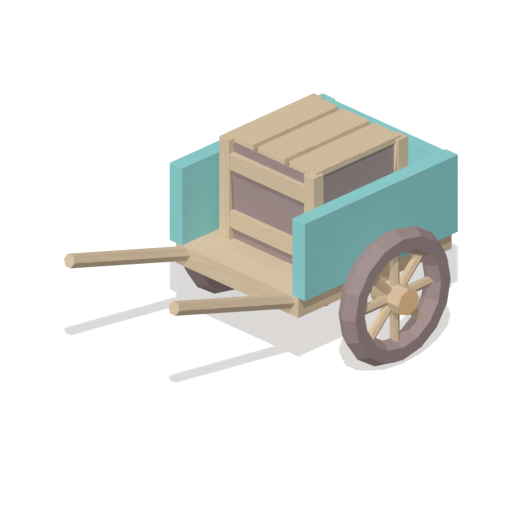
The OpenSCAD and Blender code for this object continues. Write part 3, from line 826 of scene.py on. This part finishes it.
class HANDCART_OT_rims(bpy.types.Operator):
    """Builds the two rims, each of eight felloes that are bent once over their spoke"""
    bl_idname = "handcart.rims"
    bl_label = "Rims"

    def execute(self, context):
        sizes = context.scene.cart_sizes
        middle = wheel_middle("left")
        side_len, ring_r = rim_section()
        start = Quaternion(Y, -SPOKE_STEP / 2) @ Z
        deselect()
        bpy.ops.mesh.primitive_circle_add(
            vertices=HEX, radius=side_len, location=middle + start * ring_r,
            rotation=facing(Y.cross(start), start))
        felloe = take_up("Felloe")
        bpy.ops.object.mode_set(mode="EDIT")
        bpy.ops.mesh.select_all(action="SELECT")
        bpy.ops.mesh.spin(steps=FELLOE_FLATS, angle=SPOKE_STEP, center=middle, axis=Y)
        bpy.ops.mesh.select_all(action="SELECT")
        bpy.ops.mesh.fill_holes(sides=HEX)
        bpy.ops.mesh.select_all(action="SELECT")
        bpy.ops.mesh.normals_make_consistent(inside=False)
        bpy.ops.object.mode_set(mode="OBJECT")
        if sum(v.co.x - middle.x for v in felloe.data.vertices) < -ring_r:
            felloe.data.transform(about_axle(SPOKE_STEP))
        soften(felloe, sizes.joint_edge, "Mauve_paint")
        set_round(felloe, "Rim_felloes", "felloes", ring_r, Y.cross)
        return {"FINISHED"}


class HANDCART_OT_spokes(bpy.types.Operator):
    """Builds the eight six-sided spokes of each wheel"""
    bl_idname = "handcart.spokes"
    bl_label = "Spokes"

    def execute(self, context):
        sizes = context.scene.cart_sizes
        lo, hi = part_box("spokes_left")
        hub_lo, hub_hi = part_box("hub_left")
        side_len, ring_r = rim_section()
        start = wheel_middle("left") + Z * (SPOKE_ROOT * (hub_hi.z - hub_lo.z) / 2)
        end = wheel_middle("left") + Z * (ring_r - side_len / 2)
        spoke = add_bar("Spoke", HEX, (hi.y - lo.y) / 2, start, end, Y)
        soften(spoke, sizes.wheel_edge, "Wheel_timber")
        set_round(spoke, "Spoke_set", "spokes", 0, Vector.copy)
        return {"FINISHED"}


class HANDCART_OT_hubs(bpy.types.Operator):
    """Builds the two eight-sided hubs, bored for their bushes and nuts, and their caps"""
    bl_idname = "handcart.hubs"
    bl_label = "Hubs and caps"

    def execute(self, context):
        sizes = context.scene.cart_sizes
        for number, (name, side) in enumerate(SIDES.items()):
            middle = wheel_middle(name)
            lo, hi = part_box("hub_" + name)
            bush_lo, bush_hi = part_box("hub_bushes_" + name)
            inner, outer = (lo.y, hi.y) if side > 0 else (hi.y, lo.y)
            radius = (hi.z - lo.z) / 2
            foot = Vector((middle.x, inner, middle.z))
            head = Vector((middle.x, outer, middle.z))
            hub = add_bar("Hub_block_" + name, SPOKE_COUNT, radius, foot, head, Z)
            bush_r = (bush_hi.x - bush_lo.x) / 2
            cut_hole(hub, foot - Y * side * radius, head + Y * side * radius, bush_r)
            bush_end = bush_hi.y if side > 0 else bush_lo.y
            pocket = Vector((middle.x, bush_end - side * sizes.slide_clear, middle.z))
            cut_hole(hub, pocket, head + Y * side * radius, sizes.nut_pocket)
            soften(hub, sizes.wheel_edge, "Wheel_timber")
            lay_grain(hub, foot + X * radius / 3, Y, "hubs", number)
            fix(hub, "wheel_" + name, "hub_" + name)
            cap_lo, cap_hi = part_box("hub_cap_" + name)
            end = cap_hi.y if side > 0 else cap_lo.y
            tip = Vector((head.x, end, head.z))
            cap = add_bar("Hub_cap_block_" + name, SPOKE_COUNT, radius, head, tip, Z)
            soften(cap, sizes.joint_edge, "Wheel_timber")
            cap.data.materials.append(pair("Cap_timber")[0])
            for face in cap.data.polygons:
                if face.normal.y * side > END_FACE:
                    face.material_index = len(cap.data.materials) - 1
            lay_grain(cap, head, X, "hub_caps", number)
            fix(cap, "wheel_" + name, "hub_cap_" + name)
        return {"FINISHED"}


class HANDCART_OT_crate_posts(bpy.types.Operator):
    """Builds the crate's four grooved corner posts"""
    bl_idname = "handcart.crate_posts"
    bl_label = "Crate posts"

    def execute(self, context):
        sizes = context.scene.cart_sizes
        for end_place, end in enumerate(ENDS):
            panel_lo, panel_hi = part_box("panel_" + end)
            for side_place, (name, side) in enumerate(SIDES.items()):
                node = f"post_{end}_{name}"
                lo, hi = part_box(node)
                side_lo, side_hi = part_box("panel_" + name)
                reach_y = (lo.y - sizes.fit, panel_hi.y) if side > 0 else (panel_lo.y, hi.y + sizes.fit)
                reach_x = (
                    (lo.x - sizes.fit, side_hi.x) if end == "front" else (side_lo.x, hi.x + sizes.fit))
                top = hi.z + sizes.slide_clear
                end_groove = (
                    Vector((panel_lo.x - sizes.fit, reach_y[0] - sizes.fit, panel_lo.z)),
                    Vector((panel_hi.x + sizes.fit, reach_y[1] + sizes.fit, top)))
                side_groove = (
                    Vector((reach_x[0] - sizes.fit, side_lo.y - sizes.fit, side_lo.z)),
                    Vector((reach_x[1] + sizes.fit, side_hi.y + sizes.fit, top)))
                board(node, f"Post_bar_{end}_{name}", Z, "posts", 2 * end_place + side_place,
                      sizes.board_edge, "Pale_timber", "crate", cuts=(end_groove, side_groove))
        return {"FINISHED"}


class HANDCART_OT_crate_battens(bpy.types.Operator):
    """Builds the crate's four battens between the posts"""
    bl_idname = "handcart.crate_battens"
    bl_label = "Crate battens"

    def execute(self, context):
        sizes = context.scene.cart_sizes
        post_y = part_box("post_front_left")[0].y
        for end_place, end in enumerate(ENDS):
            for level_place, level in enumerate(("low", "high")):
                node = f"batten_{end}_{level}"
                lo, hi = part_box(node)
                lo.y, hi.y = -post_y, post_y
                board(node, f"Batten_bar_{end}_{level}", Y, "battens", 2 * end_place + level_place,
                      sizes.board_edge, "Pale_timber", "crate", lo, hi)
        return {"FINISHED"}


class HANDCART_OT_crate_panels(bpy.types.Operator):
    """Builds the crate's four painted panels"""
    bl_idname = "handcart.crate_panels"
    bl_label = "Crate panels"

    def execute(self, context):
        sizes = context.scene.cart_sizes
        for number, (place, along) in enumerate((("front", Y), ("left", X), ("rear", Y), ("right", X))):
            board("panel_" + place, "Panel_board_" + place, along, "panels", number,
                  sizes.board_edge, "Mauve_paint", "crate")
        return {"FINISHED"}


class HANDCART_OT_crate_floor(bpy.types.Operator):
    """Lays the crate's floor boards, notched round the posts"""
    bl_idname = "handcart.crate_floor"
    bl_label = "Crate floor"

    def execute(self, context):
        sizes = context.scene.cart_sizes
        lo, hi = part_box("crate_floor")
        step = (hi.y - lo.y + sizes.crate_floor_gap) / sizes.crate_floor_count
        boards = []
        for k in range(sizes.crate_floor_count):
            low = Vector((lo.x, lo.y + k * step, lo.z))
            high = Vector((hi.x, lo.y + (k + 1) * step - sizes.crate_floor_gap, hi.z))
            plank = add_block("Crate_floor_board", low, high)
            if k in (0, sizes.crate_floor_count - 1):
                name = "right" if k == 0 else "left"
                for end in ENDS:
                    post_lo, post_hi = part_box(f"post_{end}_{name}")
                    gap = Vector((sizes.fit,) * 3)
                    cut_block(plank, post_lo - gap, post_hi + gap)
            soften(plank, sizes.joint_edge, "Inner_timber")
            boards.append(lay_grain(plank, (low + high) / 2, X, "crate_floor", k))
        fix(join("Crate_floor_set", boards), "crate", "crate_floor")
        return {"FINISHED"}


class HANDCART_OT_lid(bpy.types.Operator):
    """Builds the lid's three planks, housed over the post tops, and its two cleats"""
    bl_idname = "handcart.lid"
    bl_label = "Crate lid"

    def execute(self, context):
        sizes = context.scene.cart_sizes
        clear = Vector((sizes.slide_clear, sizes.slide_clear, 0))
        radius = screw_radius()
        for number, place in enumerate(("right", "middle", "left")):
            housings = []
            if place != "middle":
                for end in ENDS:
                    post_lo, post_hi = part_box(f"post_{end}_{place}")
                    housings.append((post_lo - clear, post_hi + clear))
            board("lid_plank_" + place, "Lid_plank_board_" + place, X, "lid_planks", number,
                  sizes.board_edge, "Pale_timber", "crate_lid", cuts=housings)
        for number, end in enumerate(ENDS):
            node = "lid_cleat_" + end
            lo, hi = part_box(node)
            cleat = add_block("Lid_cleat_bar_" + end, lo, hi)
            for place in ("right", "middle", "left"):
                plank_lo, plank_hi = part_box("lid_plank_" + place)
                for share in LID_SCREWS:
                    y = plank_lo.y + share * (plank_hi.y - plank_lo.y)
                    foot, head = (Vector(((lo.x + hi.x) / 2, y, z)) for z in (lo.z, hi.z))
                    cut_hole(cleat, foot - Z * radius, head + Z * radius, radius + sizes.fit)
            soften(cleat, sizes.board_edge, "Inner_timber")
            lay_grain(cleat, (lo + hi) / 2, Y, "lid_cleats", number)
            fix(cleat, "crate_lid", node)
        return {"FINISHED"}


def screw_radius():
    """Radius of the lid's screws, from how far they stand in from the planks' quarter lines."""
    screw_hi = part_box("lid_screws")[1]
    plank_lo, plank_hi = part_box("lid_plank_left")
    return screw_hi.y - (plank_lo.y + LID_SCREWS[1] * (plank_hi.y - plank_lo.y))


class HANDCART_OT_hardware(bpy.types.Operator):
    """Finishes the axle, straps, screws, bushes, pegs and dowels that the frame carries"""
    bl_idname = "handcart.hardware"
    bl_label = "Hardware"

    def execute(self, context):
        finishes = {
            "Forged_iron": (
                "side_board_screws", "side_board_washers", "axle", "axle_straps", "axle_strap_screws",
                "axle_inner_washers", "axle_outer_washers", "axle_nuts", "lid_screws"),
            "Turned_bronze": ("hub_bushes_left", "hub_bushes_right"),
            "Peg_timber": ("shaft_pegs", "frame_pegs", "felloe_dowels_left", "felloe_dowels_right"),
        }
        for finish, nodes in finishes.items():
            for node in nodes:
                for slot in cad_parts[node].material_slots:
                    slot.material = bpy.data.materials[finish]
        return {"FINISHED"}


def tent_corners():
    """Twelve directions spread evenly all round."""
    long = (1 + math.sqrt(5)) / 2
    return [Vector(corner).normalized() for a in (1, -1) for b in (long, -long)
            for corner in ((0, a, b), (a, b, 0), (b, 0, a))]


class HANDCART_OT_stage(bpy.types.Operator):
    """Sets the floor, the lights and the camera"""
    bl_idname = "handcart.stage"
    bl_label = "Stage"

    def execute(self, context):
        stage = context.scene.cart_stage
        deselect()
        bpy.ops.mesh.primitive_plane_add(size=FLOOR_SIZE, location=(0, 0, 0))
        floor = take_up("Studio_floor")
        floor.data.materials.append(self.floor_paint(stage))
        self.add_air(context, stage)
        flat = Vector((math.sin(stage.azimuth), -math.cos(stage.azimuth), 0))
        self.add_sun("Key_light", flat * math.cos(stage.key_height) + Z * math.sin(stage.key_height),
                     stage.key_strength, True)
        lean = Vector(stage.tent_lean)
        corners = tent_corners()
        for number, corner in enumerate(corners):
            strength = EVEN_SHARE * stage.tent_strength / len(corners) * max(0, 1 + lean.dot(corner))
            self.add_sun(f"Tent_light_{number}", corner, strength, False)
        back = flat * math.cos(stage.elevation) + Z * math.sin(stage.elevation)
        lo, hi = cad_box
        aim = (Vector(lo) + Vector(hi)) / 2 + Vector(stage.aim)
        deselect()
        bpy.ops.object.camera_add(
            location=aim + back * CAMERA_DISTANCE, rotation=back.to_track_quat("Z", "Y").to_euler())
        camera = context.active_object
        camera.name = camera.data.name = "View_camera"
        camera.data.type = "ORTHO"
        camera.data.ortho_scale = stage.view_width
        context.scene.camera = camera
        context.scene.view_settings.view_transform = "Standard"
        return {"FINISHED"}

    def floor_paint(self, stage):
        """Pale matt paint, which throws little light back at the cart."""
        tree, shader = start_material("Studio_floor_paint", gloss=0)
        shader.inputs["Base Color"].default_value = rgba((stage.floor_paleness,) * 3)
        shader.inputs["Roughness"].default_value = 1
        dull = tree.nodes.new("ShaderNodeBsdfDiffuse")
        dull.inputs["Color"].default_value = rgba((stage.floor_bounce,) * 3)
        path = tree.nodes.new("ShaderNodeLightPath")
        mix = tree.nodes.new("ShaderNodeMixShader")
        tree.links.new(path.outputs["Is Camera Ray"], mix.inputs[0])
        tree.links.new(dull.outputs[0], mix.inputs[1])
        tree.links.new(shader.outputs[0], mix.inputs[2])
        tree.links.new(mix.outputs[0], tree.nodes["Material Output"].inputs["Surface"])
        return bpy.data.materials["Studio_floor_paint"]

    def add_sun(self, name, towards, strength, shadow):
        """A sun that casts a shadow and glints on the cart, or does neither."""
        deselect()
        bpy.ops.object.light_add(
            type="SUN", location=towards * SUN_DISTANCE,
            rotation=towards.to_track_quat("Z", "Y").to_euler())
        sun = bpy.context.active_object
        sun.name = sun.data.name = name
        sun.data.energy = strength
        sun.data.angle = SUN_WIDTH
        sun.data.use_shadow = shadow
        sun.visible_glossy = shadow

    def add_air(self, context, stage):
        """White to look at, which lights the cart only a little."""
        world = bpy.data.worlds.new("Studio_air")
        context.scene.world = world
        world.use_nodes = True
        tree = world.node_tree
        lit = tree.nodes["Background"]
        lit.inputs["Strength"].default_value = stage.ambient
        lit.inputs["Color"].default_value = WHITE
        seen = tree.nodes.new("ShaderNodeBackground")
        seen.inputs["Color"].default_value = WHITE
        path = tree.nodes.new("ShaderNodeLightPath")
        mix = tree.nodes.new("ShaderNodeMixShader")
        tree.links.new(path.outputs["Is Camera Ray"], mix.inputs[0])
        tree.links.new(lit.outputs[0], mix.inputs[1])
        tree.links.new(seen.outputs[0], mix.inputs[2])
        tree.links.new(mix.outputs[0], tree.nodes["World Output"].inputs["Surface"])


# ---------- sidebar and registration ----------

STEPS = (
    HANDCART_OT_finishes, HANDCART_OT_bed_frame, HANDCART_OT_bed_floor, HANDCART_OT_side_boards,
    HANDCART_OT_tailboard, HANDCART_OT_shafts, HANDCART_OT_rims, HANDCART_OT_spokes, HANDCART_OT_hubs,
    HANDCART_OT_crate_posts, HANDCART_OT_crate_battens, HANDCART_OT_crate_panels, HANDCART_OT_crate_floor,
    HANDCART_OT_lid, HANDCART_OT_hardware, HANDCART_OT_stage,
)


class HANDCART_PT_sidebar(bpy.types.Panel):
    """Lists the cart's building steps and what can be changed"""
    bl_idname = "HANDCART_PT_sidebar"
    bl_label = "Timber Hand Cart"
    bl_space_type = "VIEW_3D"
    bl_region_type = "UI"
    bl_category = "Hand Cart"

    def draw(self, context):
        scene = context.scene
        for settings in (scene.cart_sizes, scene.cart_colours, scene.cart_stage):
            box = self.layout.box()
            for name in settings.__annotations__:
                box.prop(settings, name)
        for step in STEPS:
            self.layout.operator(step.bl_idname)


SETTINGS = {"cart_sizes": CartSizes, "cart_colours": CartColours, "cart_stage": CartStage}


def register():
    for name, group in SETTINGS.items():
        bpy.utils.register_class(group)
        setattr(bpy.types.Scene, name, bpy.props.PointerProperty(type=group))
    for step in STEPS:
        bpy.utils.register_class(step)
    bpy.utils.register_class(HANDCART_PT_sidebar)


def unregister():
    bpy.utils.unregister_class(HANDCART_PT_sidebar)
    for step in reversed(STEPS):
        bpy.utils.unregister_class(step)
    for name, group in SETTINGS.items():
        delattr(bpy.types.Scene, name)
        bpy.utils.unregister_class(group)


def main():
    register()
    for step in STEPS:
        if getattr(bpy.ops.handcart, step.bl_idname.split(".")[1])() != {"FINISHED"}:
            raise RuntimeError(step.bl_label + " didn't finish")


if __name__ == "__main__":
    main()
